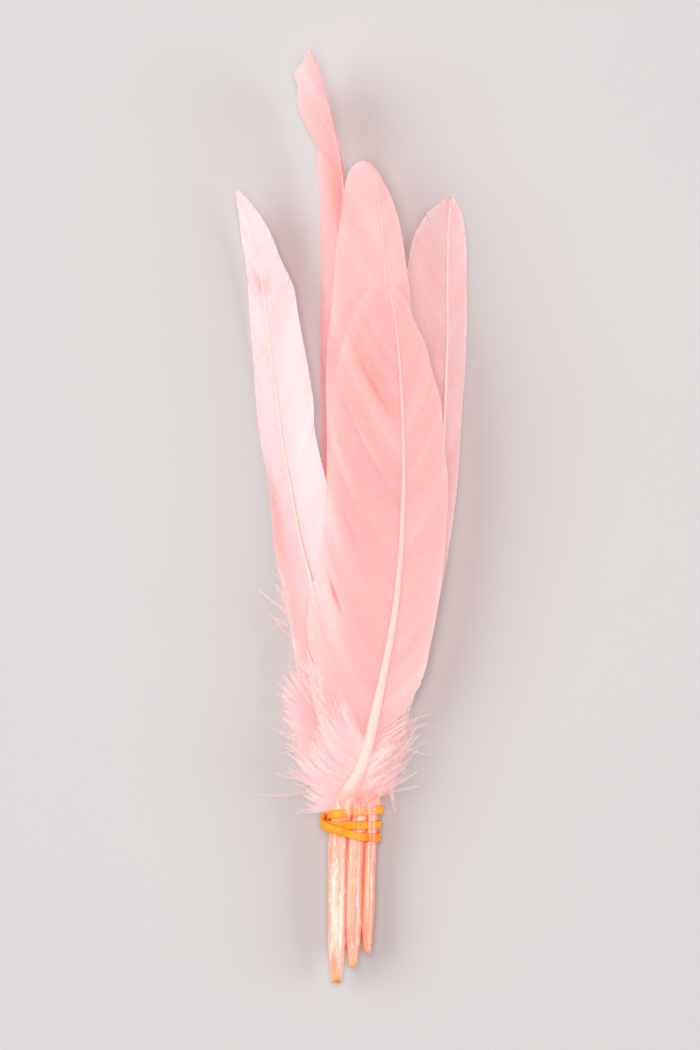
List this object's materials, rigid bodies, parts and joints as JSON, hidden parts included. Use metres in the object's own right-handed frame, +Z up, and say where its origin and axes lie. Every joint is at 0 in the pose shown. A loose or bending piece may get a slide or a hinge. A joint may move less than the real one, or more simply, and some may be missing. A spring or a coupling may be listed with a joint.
{
  "type": "bunch of goose quill feathers",
  "caption": "Bunch of dyed pink goose quill feathers, fanned out at the tips and tied round the bare quills with an orange rubber band.",
  "frame": {"origin": "middle of the bunch's outline, on the surface it lies on", "axes": "+Z up from the surface, +Y along the feathers from the quills to the tips, +X to the right seen from above"},
  "size_m": [0.0522, 0.209, 0.0184],
  "materials": {
    "feather_pink": "soft matte barbs, salmon pink dye",
    "feather_pale": "satin barbs, very pale pink dye",
    "down": "fine loose down, pink dye",
    "shaft": "satin cream shaft",
    "quill": "glossy translucent peach quill",
    "band_rubber": "satin orange rubber",
    "lint": "one magenta lint fibre"
  },
  "bodies": {
    "root": {"feather_front": "feather_pink", "feather_behind_front": "feather_pink", "feather_right": "feather_pink", "feather_left": "feather_pale", "feather_tall_narrow": "feather_pink", "rubber_band": "band_rubber"}
  },
  "joints": []
}
